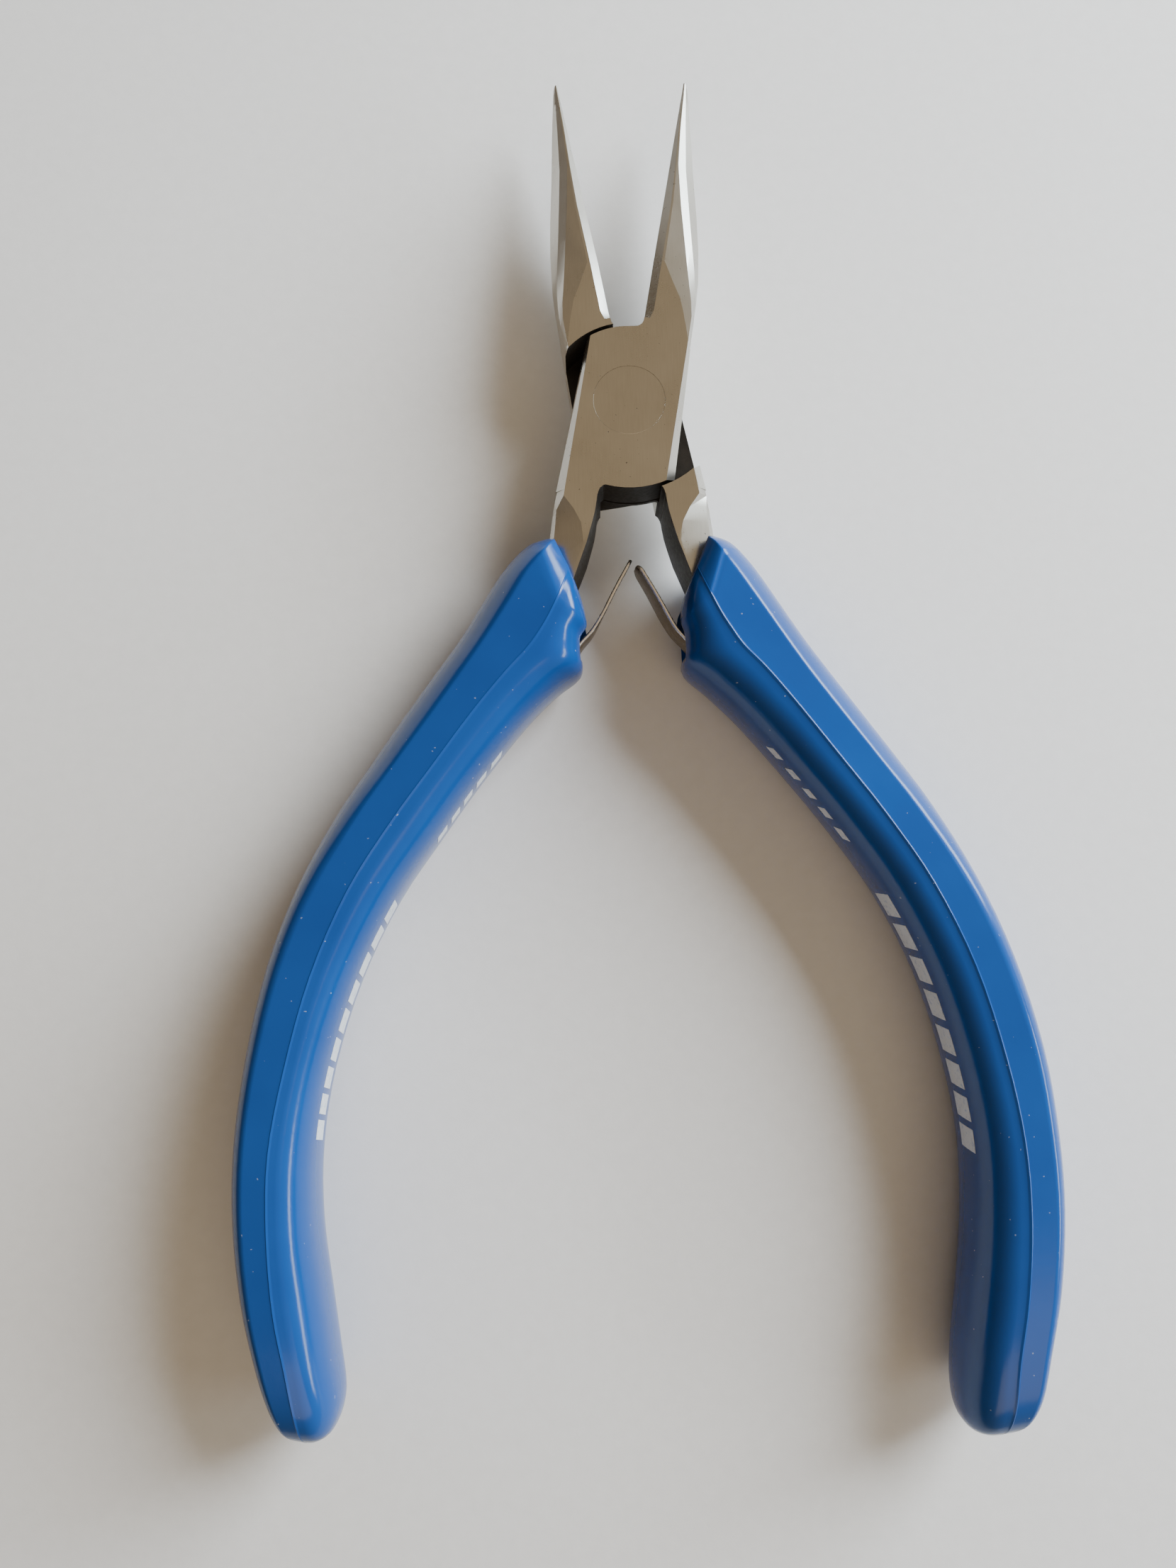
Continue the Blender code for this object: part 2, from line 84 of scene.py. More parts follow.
# Steel halves
JAW_END_RADIUS = 7.4                # the lapped plate's round end towards the jaws
TANG_END_RADIUS = 8.6               # the same towards the tangs
SHOULDER_GAP = 0.35                 # between a plate's round end and the other half's shoulder
LAP_PLANE = 0.15                    # height of the lapped face above the mid-plane
LAP_TOLERANCE = 0.05
ARC_TOLERANCE = 0.12
THROAT_X = (-2.0, 6.0)              # bounds of the dark throat between the tangs
THROAT_Y = (-10.0, -6.5)
THROAT_RADIUS = 9.2
TANG_INSIDE_TOP = -8.4              # the dark inner side of the tang starts below here
TANG_INSIDE_LEFT = -9.0             # and lies to the right of here
EDGE_ANGLE = 24.0                   # edges sharper than this, in degrees, are rounded
FACET_ANGLE = 11.0                  # edges sharper than this, in degrees, part the ground faces
EDGE_ROUND = 0.07
MERGE_DISTANCE = 0.000002           # metres: corners closer than this are one
COPLANAR_ANGLE = 0.6                # faces that differ less than this, in degrees, become one
RIVET_HOLE_RADIUS = 3.4
HOLE_TOLERANCE = 0.05
RIVET_RADIUS = 3.392
RIVET_SEGMENTS = 96
RIVET_EDGE_BREAK = 0.03             # width and depth of the rivet's broken edge
RIVET_SINK = 0.004                  # how far the rivet's face lies below the plate
JOINT_HALF_THICKNESS = 4.0

# Leaf springs
LEAF_THICKNESS = 0.36
LEAF_ROOT_HALF_WIDTH = 1.8
LEAF_TIP_HALF_WIDTH = 1.25
LEAF_LEAN = 0.12                    # sideways lean of the free end, as a fraction of the height
FRONT_LEAF_EXTRA = 0.7              # the front half's leaf is this much longer
LEAF_END_LENGTH = 0.6               # the strip's ends narrow over this length
LEAF_END_NARROWING = 0.5
LEAF_STEPS = 8                      # rings between two points of the path
LEAF_PATH = [(-7.6, -33.9), (-6.1, -31.0), (-4.65, -28.2), (-3.6, -26.6), (-2.3, -25.1), (-1.45, -24.1),
             (-0.85, -22.95), (-0.15, -21.8), (0.42, -20.3), (1.3, -17.4), (2.15, -14.9)]
LEAF_ROOT = (-1.45, -24.1)          # where the foot ends and the free blade starts
LEAF_BEND_REACH = 1.6               # reach to both sides of the root

# Rivets in the leaves' feet
FOOT_RIVET_POINT = (-6.1, -31.0)
SHANK_RADIUS = 0.7
SHANK_LENGTH = 3.0
HEAD_GAP = 0.1                      # between the leaf and the head
HEAD_SEAT_RADIUS = 1.22
HEAD_RADIUS = 1.25
HEAD_RIM = 0.12                     # height of the head's rim below its dome
HEAD_RISE = 0.38
HEAD_DOME_END = 1.35                # the dome's last angle, in radians
HEAD_SEGMENTS = 40

# Sleeves from the mouth to the closed end: plan points of the outer edge, the crease, the ridge and the
# inner edge, then the half thickness. The first three stations are the rolled mouth.
MOUTH_STATIONS = 3
SLEEVES = {
    "left": [
        ((-6.3, -14.05), (-4.75, -14.5), (-3.0, -17.0), (-1.0, -20.3), 4.2),
        ((-7.55, -14.8), (-5.15, -15.4), (-3.2, -18.7), (-0.7, -21.0), 5.3),
        ((-8.6, -16.2), (-5.6, -16.55), (-3.5, -20.4), (-0.5, -21.9), 5.95),
        ((-9.65, -18.1), (-6.6, -18.4), (-4.0, -22.2), (-0.9, -22.9), 6.0),
        ((-10.7, -20.7), (-7.7, -21.3), (-4.6, -23.8), (-0.7, -24.2), 6.0),
        ((-12.3, -24.8), (-9.2, -24.9), (-5.5, -25.6), (-0.5, -25.8), 6.0),
        ((-14.0, -28.3), (-10.7, -28.2), (-7.1, -28.1), (-2.4, -27.9), 6.0),
        ((-15.9, -32.3), (-12.6, -32.2), (-9.3, -32.0), (-4.9, -31.5), 6.0),
        ((-18.4, -37.8), (-15.3, -37.7), (-12.1, -37.6), (-8.1, -37.3), 6.0),
        ((-20.5, -42.7), (-17.6, -42.7), (-14.6, -42.7), (-10.7, -42.7), 6.0),
        ((-22.6, -49.3), (-20.0, -49.3), (-17.3, -49.3), (-13.7, -49.3), 6.0),
        ((-23.95, -57.0), (-21.6, -57.0), (-19.1, -57.0), (-15.9, -57.0), 6.0),
        ((-24.21, -65.0), (-22.1, -65.0), (-19.8, -65.0), (-16.9, -65.0), 6.0),
        ((-23.77, -72.3), (-21.75, -72.2), (-19.8, -72.1), (-16.7, -72.0), 6.0),
        ((-22.6, -78.6), (-20.6, -78.5), (-18.7, -78.4), (-15.5, -78.3), 6.0),
        ((-20.7, -84.6), (-18.8, -84.5), (-17.0, -84.4), (-13.5, -84.2), 5.95),
        ((-18.7, -89.1), (-17.0, -89.0), (-15.2, -88.9), (-11.9, -88.8), 5.7),
        ((-17.0, -92.4), (-15.5, -92.3), (-14.0, -92.2), (-10.8, -92.0), 5.1),
        ((-15.5, -94.4), (-14.5, -94.35), (-13.3, -94.3), (-10.9, -94.2), 4.0),
        ((-14.2, -95.3), (-13.6, -95.3), (-12.9, -95.3), (-11.7, -95.2), 2.4),
        ((-13.3, -95.6), (-13.0, -95.6), (-12.8, -95.6), (-12.5, -95.6), 0.9),
    ],
    "right": [
        ((-5.85, -13.95), (-4.55, -14.4), (-2.9, -17.0), (-0.8, -20.2), 4.2),
        ((-6.95, -14.7), (-4.95, -15.35), (-3.1, -18.7), (-0.6, -20.9), 5.3),
        ((-7.9, -16.0), (-5.35, -16.6), (-3.4, -20.4), (-0.5, -21.8), 5.95),
        ((-8.85, -17.8), (-6.2, -18.5), (-3.9, -22.2), (-0.6, -22.8), 6.0),
        ((-10.05, -20.7), (-7.4, -21.3), (-4.5, -23.8), (-0.4, -24.1), 6.0),
        ((-11.7, -24.8), (-8.9, -24.9), (-5.3, -25.6), (-0.2, -25.7), 6.0),
        ((-13.3, -28.3), (-10.3, -28.2), (-6.9, -28.1), (-1.9, -27.9), 6.0),
        ((-15.2, -32.3), (-12.2, -32.2), (-9.0, -32.0), (-4.4, -31.5), 6.0),
        ((-17.8, -37.8), (-14.9, -37.7), (-11.8, -37.6), (-7.7, -37.3), 6.0),
        ((-19.9, -42.7), (-17.2, -42.7), (-14.3, -42.7), (-10.5, -42.7), 6.0),
        ((-22.0, -49.3), (-19.6, -49.3), (-17.0, -49.3), (-13.4, -49.3), 6.0),
        ((-23.6, -57.0), (-21.3, -57.0), (-18.9, -57.0), (-15.5, -57.0), 6.0),
        ((-24.2, -65.0), (-22.0, -65.0), (-19.6, -65.0), (-16.3, -65.0), 6.0),
        ((-23.7, -72.3), (-21.6, -72.2), (-19.5, -72.1), (-16.1, -72.0), 6.0),
        ((-22.6, -78.6), (-20.6, -78.5), (-18.5, -78.4), (-14.9, -78.3), 6.0),
        ((-20.8, -84.7), (-18.8, -84.6), (-16.8, -84.4), (-13.1, -84.2), 5.95),
        ((-18.8, -89.4), (-17.0, -89.3), (-15.0, -89.2), (-11.4, -89.0), 5.7),
        ((-17.3, -92.9), (-15.7, -92.8), (-14.0, -92.7), (-10.4, -92.5), 5.1),
        ((-15.8, -94.9), (-14.7, -94.8), (-13.3, -94.75), (-10.4, -94.7), 4.0),
        ((-14.4, -95.75), (-13.7, -95.75), (-12.8, -95.7), (-11.3, -95.65), 2.4),
        ((-13.4, -96.08), (-13.1, -96.08), (-12.7, -96.08), (-12.3, -96.03), 0.9),
    ],
}
SLEEVE_HALF_THICKNESS = 6.0
SLEEVE_SHARP_ANGLE = 66.0
CRISP_UNTIL = -38.0                 # the crease is crisp from the mouth down to here
SOFT_FROM = -52.0                   # and soft from here to the closed end
FACET_DEPTH = {"left": 0.035, "right": 0.12}    # how far the flat facet lies below its beaded rim
MOUTH_DEPTH = 0.018                 # the same on the rolled mouth
MOUTH_STEP = 0.3                    # where the rolled mouth steps down to the facet, in rings
RINGS_PER_STATION = 4
TANG_CLEARANCE = 0.2

# The sleeve's section. Heights are fractions of the half thickness.
CREASE_LEVEL = 0.945                # the crease's height for which the outer wall is drawn
SOFT_SLOPE = 0.012                  # the facet's fall towards the crease where the crease is soft
FACET_SLOPE = 0.060                 # the same where it is crisp
SOFT_FULLNESS = 2.2                 # exponent of the outer wall's curve where the crease is soft
WALL_FULLNESS = 2.6                 # exponent of the inner wall's curve: 2 is an ellipse, more is squarer
WALL_TOP = 0.979                    # height at which the inner wall starts, below the bead
OUTER_WALL = [                      # place from the outer edge to the crease, and height where it is crisp
    (0.0, 0.0), (0.01, 0.11), (0.04, 0.22), (0.10, 0.35), (0.20, 0.48), (0.34, 0.605),
    (0.50, 0.72), (0.66, 0.81), (0.80, 0.878), (0.90, 0.918), (0.965, 0.937),
]
BEAD = [                            # stretch, place along it and height, over the ridge
    (1, 0.99, 0.995), (2, 0.0, 1.0), (2, 0.008, 0.999), (2, 0.045, 0.982), (2, 0.065, WALL_TOP),
]
INNER_WALL = (0.22, 0.33, 0.43, 0.53, 0.63, 0.73, 0.82, 0.90, 0.955, 0.99, 1.0)    # places from the ridge

# Plain bars printed on the sleeves' inner walls: start, end and slant along the sleeve in rings, then the
# upper and lower place on the wall in section points
INK_LIFT = 0.03                     # the ink stands proud by this much
INK_ROOT = 0.06                     # and reaches this far into the wall
BAR_ROWS, BAR_COLUMNS = 5, 4
PRINTED_BARS = {
    "left": [(31.0 + 1.35 * k, 31.9 + 1.35 * k, 0.25, 31.2, 32.2) for k in range(5)]
            + [(41.0 + 1.3 * k, 42.0 + 1.3 * k, 0.25, 30.8, 32.6) for k in range(9)],
    "right": [(31.0 + 1.5 * k, 31.8 + 1.5 * k, 0.3, 33.0, 34.0) for k in range(5)]
             + [(41.0 + 1.6 * k, 42.2 + 1.6 * k, 0.2, 31.6, 34.0) for k in range(8)],
}

# Pocket in the sleeve for the leaf's foot
CHANNEL_HALF_HEIGHT = 2.4
CHANNEL_OUTLINE = [
    (2.0, -12.0), (2.0, -24.55), (-0.9, -25.0), (-3.1, -27.0), (-4.4, -28.8), (-5.9, -31.8),
    (-7.2, -34.6), (-9.2, -34.6), (-6.6, -29.0), (-4.6, -24.0), (-3.4, -19.0), (-3.4, -12.0),
]

# Stage, in metres. A light is its name, place, aim, size, watts and colour, and whether surfaces mirror it.
FLOOR_HALF_SIZE = 3.0
LIGHTS = [
    ("window", (0.752, 0.470, 0.156), (0.0, 0.02, 0.0), (0.46, 0.29), 8.0, (0.80, 0.91, 1.0), True),
    ("side_window", (0.800, -0.127, 0.249), (0.0, -0.03, 0.0), (0.34, 0.13), 1.9, (0.84, 0.93, 1.0), True),
    ("key", (0.330, 0.206, 0.253), (0.0, 0.0, 0.0), (0.27, 0.27), 4.9, (0.89, 0.95, 1.0), False),
    ("ceiling", (0.12, -0.55, 0.66), (0.0, 0.0, 0.0), (0.8, 0.5), 2.0, (1.0, 0.77, 0.51), True),
]
LOW_LEFT, LOW_RIGHT = (0.13, 0.10, 0.075), (0.50, 0.47, 0.42)       # the room's light near the horizon
HIGH_LEFT, HIGH_RIGHT = (0.34, 0.26, 0.17), (0.46, 0.35, 0.22)      # and overhead
ROOM_SEEN = 1.17                    # its strength as seen and mirrored
ROOM_LIT = 0.62                     # and as it lights matt surfaces
CAMERA_OFFSET = (-0.00478, -0.05092)            # from the pivot
CAMERA_HEIGHT = 0.1142
CAMERA_PITCH = 8.0                  # degrees towards the jaws
CAMERA_ROLL = -1.026
CAMERA_LENS = 27.03
CAMERA_SENSOR = 36.0
CAMERA_CLIP = 0.005


# ---------------------------------------------------------------- materials

def new_material(name):
    """An empty Principled material: its node tree and its shader."""
    material = bpy.data.materials.new(name)
    material.use_nodes = True
    tree = material.node_tree
    return material, tree, tree.nodes["Principled BSDF"]


def add_node(tree, kind, inputs=None, **settings):
    """A node with its settings, and with each named input linked to a socket or set to a value."""
    node = tree.nodes.new(kind)
    for key, value in settings.items():
        setattr(node, key, value)
    for key, value in (inputs or {}).items():
        if isinstance(value, bpy.types.NodeSocket):
            tree.links.new(value, node.inputs[key])
        else:
            node.inputs[key].default_value = value
    return node


def object_coordinates(tree, stretch=(1.0, 1.0, 1.0)):
    """Object coordinates, stretched along the axes."""
    source = add_node(tree, "ShaderNodeTexCoord")
    mapping = add_node(tree, "ShaderNodeMapping", {"Vector": source.outputs["Object"]})
    mapping.inputs["Scale"].default_value = stretch
    return mapping.outputs["Vector"]


def noise(tree, vector, scale, detail, roughness):
    """A noise texture's value. The scale is in features per metre."""
    node = add_node(tree, "ShaderNodeTexNoise",
                    {"Vector": vector, "Scale": scale, "Detail": detail, "Roughness": roughness})
    return node.outputs["Fac"]


def remap(tree, value, low, high, to_low, to_high):
    """Map a value's range to another one, clamped."""
    node = add_node(tree, "ShaderNodeMapRange", {"Value": value, "From Min": low, "From Max": high,
                                                 "To Min": to_low, "To Max": to_high})
    return node.outputs["Result"]


def mix_colour(tree, factor, first, second):
    """Mix two colours by a factor. Each colour is a socket or three numbers."""
    node = tree.nodes.new("ShaderNodeMix")
    node.data_type = 'RGBA'
    for index, value in ((0, factor), (6, first), (7, second)):
        if isinstance(value, bpy.types.NodeSocket):
            tree.links.new(value, node.inputs[index])
        elif index == 0:
            node.inputs[index].default_value = value
        else:
            node.inputs[index].default_value = (*value, 1.0)
    return node.outputs[2]


def bump(tree, height, distance, strength=1.0, normal=None):
    """A bump node's normal. The distance is in metres."""
    inputs = {"Height": height, "Distance": distance, "Strength": strength}
    if normal is not None:
        inputs["Normal"] = normal
    return add_node(tree, "ShaderNodeBump", inputs).outputs["Normal"]


def ground_steel(name, colour):
    """Satin ground steel: fine streaks along the tool, faint clouding, specks and pits."""
    material, tree, shader = new_material(name)
    plain = object_coordinates(tree)
    along = object_coordinates(tree, (1.0, 0.045, 1.0))
    streaks = noise(tree, along, 9000.0, 4.0, 0.6)
    clouds = noise(tree, plain, 190.0, 4.0, 0.6)
    grain = noise(tree, plain, 5200.0, 2.0, 0.5)
    specks = remap(tree, noise(tree, plain, 3600.0, 1.0, 0.4), 0.765, 0.79, 0.0, 1.0)
    tone = mix_colour(tree, remap(tree, clouds, 0.3, 0.7, 0.0, 1.0), [c * 0.90 for c in colour], colour)
    bright = [min(1.0, c * 1.18) for c in colour]
    worn = mix_colour(tree, remap(tree, streaks, 0.35, 0.75, 0.0, 0.35), tone, bright)
    base = mix_colour(tree, specks, worn, [c * 0.35 for c in colour])
    tree.links.new(base, shader.inputs["Base Color"])
    shader.inputs["Metallic"].default_value = 1.0
    rough = add_node(tree, "ShaderNodeMath", {0: remap(tree, clouds, 0.25, 0.75, 0.26, 0.32),
                                              1: remap(tree, grain, 0.3, 0.7, -0.01, 0.02)})
    tree.links.new(rough.outputs[0], shader.inputs["Roughness"])
    fine = bump(tree, streaks, 0.000002)
    tree.links.new(bump(tree, specks, -0.000006, 1.0, fine), shader.inputs["Normal"])
    return material


def black_oxide(name):
    """Blackened, matt recess of the forging, rubbed through to steel in tiny spots."""
    material, tree, shader = new_material(name)
    plain = object_coordinates(tree)
    grain = noise(tree, plain, 2600.0, 4.0, 0.65)
    blotches = noise(tree, plain, 420.0, 3.0, 0.6)
    rubbed = remap(tree, grain, 0.70, 0.78, 0.0, 0.5)
    tone = mix_colour(tree, remap(tree, blotches, 0.3, 0.7, 0.0, 1.0), *OXIDE_COLOURS)
    tree.links.new(mix_colour(tree, rubbed, tone, RUBBED_STEEL), shader.inputs["Base Color"])
    tree.links.new(remap(tree, rubbed, 0.0, 0.5, 0.15, 0.8), shader.inputs["Metallic"])
    tree.links.new(remap(tree, grain, 0.3, 0.7, 0.46, 0.62), shader.inputs["Roughness"])
    shader.inputs["Specular IOR Level"].default_value = 0.35
    tree.links.new(bump(tree, grain, 0.00003), shader.inputs["Normal"])
    return material


def spring_steel(name, dark, pale):
    """Rolled strip with fine lengthwise drawing marks, clouded between two tones."""
    material, tree, shader = new_material(name)
    plain = object_coordinates(tree)
    along = object_coordinates(tree, (1.0, 1.0, 6.0))
    marks = noise(tree, along, 2600.0, 3.0, 0.6)
    clouds = noise(tree, plain, 300.0, 3.0, 0.6)
    base = mix_colour(tree, remap(tree, clouds, 0.35, 0.7, 0.0, 1.0), dark, pale)
    tree.links.new(base, shader.inputs["Base Color"])
    shader.inputs["Metallic"].default_value = 1.0
    tree.links.new(remap(tree, marks, 0.3, 0.7, 0.24, 0.30), shader.inputs["Roughness"])
    tree.links.new(bump(tree, marks, 0.0000008), shader.inputs["Normal"])
    return material


def moulded_blue(name):
    """Semi-gloss moulded PVC: even blue, faint flow clouding, soft orange peel, dust specks."""
    material, tree, shader = new_material(name)
    plain = object_coordinates(tree)
    clouds = noise(tree, plain, 90.0, 3.0, 0.55)
    peel = noise(tree, plain, 1300.0, 2.0, 0.5)
    grain = noise(tree, plain, 6000.0, 2.0, 0.5)
    dust = remap(tree, noise(tree, plain, 3400.0, 0.0, 0.5), 0.862, 0.872, 0.0, 0.4)
    tone = mix_colour(tree, remap(tree, clouds, 0.3, 0.7, 0.0, 1.0), *BLUE_COLOURS)
    tree.links.new(mix_colour(tree, dust, tone, DUST_COLOUR), shader.inputs["Base Color"])
    tree.links.new(remap(tree, clouds, 0.25, 0.75, 0.15, 0.21), shader.inputs["Roughness"])
    shader.inputs["Specular IOR Level"].default_value = 0.4
    shader.inputs["IOR"].default_value = 1.5
    soft = bump(tree, peel, 0.000006)
    tree.links.new(bump(tree, grain, 0.000001, 1.0, soft), shader.inputs["Normal"])
    return material


def print_white(name):
    """Thin pad-printed white ink, worn thin in places."""
    material, tree, shader = new_material(name)
    wear = noise(tree, object_coordinates(tree), 2400.0, 3.0, 0.6)
    worn = mix_colour(tree, remap(tree, wear, 0.55, 0.7, 0.0, 0.5), INK_COLOUR, WORN_INK_COLOUR)
    tree.links.new(worn, shader.inputs["Base Color"])
    shader.inputs["Roughness"].default_value = 0.5
    return material


def paper_floor(name):
    """Plain pale matt surface with a very faint fibre."""
    material, tree, shader = new_material(name)
    plain = object_coordinates(tree)
    fibre = noise(tree, plain, 700.0, 4.0, 0.6)
    tone = mix_colour(tree, remap(tree, fibre, 0.3, 0.7, 0.0, 1.0), *FLOOR_COLOURS)
    tree.links.new(tone, shader.inputs["Base Color"])
    shader.inputs["Roughness"].default_value = 0.85
    tree.links.new(bump(tree, fibre, 0.00002), shader.inputs["Normal"])
    return material


# ---------------------------------------------------------------- mesh helpers

def link_mesh(name, builder, materials):
    """Turn a bmesh into an object in the scene."""
    bmesh.ops.recalc_face_normals(builder, faces=builder.faces)
    mesh = bpy.data.meshes.new(name)
    builder.to_mesh(mesh)
    builder.free()
    obj = bpy.data.objects.new(name, mesh)
    bpy.context.scene.collection.objects.link(obj)
    for material in materials:
        mesh.materials.append(material)
    return obj


def loft(name, rings, matrix, materials):
    """Skin closed rings of equal length, cap both ends, and place the result by a matrix."""
    builder = bmesh.new()
    loops = [[builder.verts.new(matrix @ Vector(point)) for point in ring] for ring in rings]
    count = len(loops[0])
    for lower, upper in zip(loops, loops[1:]):
        for i in range(count):
            j = (i + 1) % count
            builder.faces.new((lower[i], lower[j], upper[j], upper[i]))
    builder.faces.new(loops[0])
    builder.faces.new(loops[-1])
    return link_mesh(name, builder, materials)


def shade(obj, angle_deg):
    """Smooth shading, with edges sharper than an angle kept sharp."""
    obj.data.shade_smooth()
    obj.data.set_sharp_from_angle(angle=math.radians(angle_deg))


def apply_modifiers(obj):
    """Replace an object's mesh by its evaluated mesh."""
    bpy.context.view_layer.update()
    graph = bpy.context.evaluated_depsgraph_get()
    mesh = bpy.data.meshes.new_from_object(obj.evaluated_get(graph))
    obj.modifiers.clear()
    obj.data = mesh
    mesh.name = obj.name


def cut(target, tool):
    """Take one solid away from another, and remove the tool."""
    modifier = target.modifiers.new("cut", 'BOOLEAN')
    modifier.operation = 'DIFFERENCE'
    modifier.solver = 'EXACT'
    modifier.object = tool
    apply_modifiers(target)
    bpy.data.objects.remove(tool, do_unlink=True)


def smooth_rows(rows, steps):
    """Catmull-Rom through rows of numbers, with a number of steps between neighbours."""
    points = np.array(rows, float)
    padded = np.vstack([2 * points[0] - points[1], points, 2 * points[-1] - points[-2]])
    result = []
    for i in range(len(points) - 1):
        a, b, c, d = padded[i:i + 4]
        for k in range(steps):
            t = k / steps
            result.append(0.5 * (2 * b + (c - a) * t + (2 * a - 5 * b + 4 * c - d) * t ** 2
                                 + (3 * b - a - 3 * c + d) * t ** 3))
    result.append(points[-1])
    return np.array(result)


# ---------------------------------------------------------------- steel halves and rivets

def is_blackened(centre, normal):
    """Whether a face of a half, given in the half's frame in mm, lies in the blackened recesses."""
    radius = math.hypot(centre.x, centre.y)
    upright = abs(normal.z) < 0.6
    lap_floor = abs(normal.z) > 0.9 and abs(centre.z - LAP_PLANE) < LAP_TOLERANCE
    on_arc = any(abs(radius - ring) < ARC_TOLERANCE for ring in (
        JAW_END_RADIUS + SHOULDER_GAP, TANG_END_RADIUS + SHOULDER_GAP, TANG_END_RADIUS))
    plate_end = upright and on_arc and centre.y < 0.0
    jaw_shoulder = upright and abs(radius - JAW_END_RADIUS - SHOULDER_GAP) < ARC_TOLERANCE
    in_throat = (THROAT_X[0] < centre.x < THROAT_X[1] and THROAT_Y[0] < centre.y < THROAT_Y[1]
                 and radius < THROAT_RADIUS)
    throat = normal.y < -0.3 and in_throat
    tang_inside = upright and normal.x > 0.6 and centre.y < TANG_INSIDE_TOP and centre.x > TANG_INSIDE_LEFT
    return lap_floor or plate_end or jaw_shoulder or throat or tang_inside


def steel_half(which, materials):
    """The forged half, from its CAD solid, with softly rounded edges and blackened recesses."""
    node = which + "_half"
    builder = bmesh.new()
    builder.from_mesh(frame["nodes"][node].data)
    bmesh.ops.remove_doubles(builder, verts=builder.verts, dist=MERGE_DISTANCE)
    bmesh.ops.dissolve_limit(builder, angle_limit=math.radians(COPLANAR_ANGLE),
                             verts=builder.verts, edges=builder.edges)
    to_half = HALF_FRAMES[which].inverted()
    turn = to_half.to_3x3().normalized()
    for face in builder.faces:
        centre = to_half @ face.calc_center_median()
        face.material_index = 1 if is_blackened(centre, turn @ face.normal) else 0
    weight = builder.edges.layers.float.new("bevel_weight_edge")
    for edge in builder.edges:
        ends = [to_half @ vert.co for vert in edge.verts]
        at_rivet = all(abs(math.hypot(end.x, end.y) - RIVET_HOLE_RADIUS) < HOLE_TOLERANCE for end in ends)
        sharp = edge.is_manifold and edge.calc_face_angle() > math.radians(EDGE_ANGLE)
        edge[weight] = 1.0 if sharp and not at_rivet else 0.0
    half = link_mesh(which + "_half_steel", builder, materials)
    bevel = half.modifiers.new("edges", 'BEVEL')
    bevel.width = EDGE_ROUND * MM
    bevel.segments = 2
    bevel.limit_method = 'WEIGHT'
    bevel.use_clamp_overlap = True
    apply_modifiers(half)
    shade(half, FACET_ANGLE)
    even = half.modifiers.new("even_faces", 'WEIGHTED_NORMAL')
    even.keep_sharp = True
    even.weight = 100
    apply_modifiers(half)
    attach(half, which + "_half_body")
    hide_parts(node)
    return half


def turned(name, profile, start, axis, material, segments):
    """Turn a profile of (radius, height) points about an axis through a start point."""
    axis = Vector(axis).normalized()
    side = axis.orthogonal().normalized()
    other = axis.cross(side)
    rings = []
    for radius, height in profile:
        angles = [2.0 * math.pi * i / segments for i in range(segments)]
        rings.append([Vector(start) + height * axis + radius * (math.cos(a) * side + math.sin(a) * other)
                      for a in angles])
    return loft(name, rings, Matrix.Identity(4), [material])


def pivot_rivet(material):
    """The ground-flush rivet: a plain face at each end with the finest broken edge."""
    face_radius = RIVET_RADIUS - RIVET_EDGE_BREAK
    top = JOINT_HALF_THICKNESS
    profile = [(face_radius, -top + RIVET_SINK), (RIVET_RADIUS, -top + RIVET_EDGE_BREAK),
               (RIVET_RADIUS, top - RIVET_EDGE_BREAK), (face_radius, top - RIVET_SINK)]
    profile = [(radius * MM, height * MM) for radius, height in profile]
    rivet = turned("flush_rivet", profile, PIVOT, (0, 0, 1), material, RIVET_SEGMENTS)
    shade(rivet, 30.0)
    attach(rivet, "rear_half_body")
    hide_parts("pivot_rivet")


def foot_rivet(which, material):
    """Domed rivet that holds a leaf's foot on its tang."""
    along = (Vector((*LEAF_PATH[2], 0.0)) - Vector((*LEAF_PATH[0], 0.0))).normalized()
    inward = Vector((along.y, -along.x, 0.0))
    matrix = HALF_FRAMES[which]
    start = matrix @ Vector((*FOOT_RIVET_POINT, 0.0))
    axis = matrix.to_3x3() @ inward
    seat = 0.5 * LEAF_THICKNESS + HEAD_GAP
    dome = [(HEAD_RADIUS * math.cos(a), seat + HEAD_RIM + HEAD_RISE * math.sin(a))
            for a in np.linspace(0.0, HEAD_DOME_END, 7)]
    profile = [(SHANK_RADIUS, -SHANK_LENGTH), (SHANK_RADIUS, seat), (HEAD_SEAT_RADIUS, seat), *dome]
    profile = [(radius * MM, height * MM) for radius, height in profile]
    rivet = turned(which + "_leaf_rivet", profile, start, axis, material, HEAD_SEGMENTS)
    shade(rivet, 35.0)
    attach(rivet, which + "_half_body")
    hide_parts(SIDES[which] + "_spring_rivet")


# ---------------------------------------------------------------- leaf springs

def leaf_ring(point, normal, half_width, lean):
    """Section of the strip: a thin band on edge with round long edges."""
    half = 0.5 * LEAF_THICKNESS
    flat = half_width - half
    bend = [math.radians(angle) for angle in range(0, 181, 30)]
    upper = [(half * math.cos(a), flat + half * math.sin(a)) for a in bend]
    ring = []
    for offset, z in upper + [(-offset, -z) for offset, z in upper]:
        shift = offset + lean * z
        ring.append((point[0] + shift * normal[0], point[1] + shift * normal[1], z))
    return ring


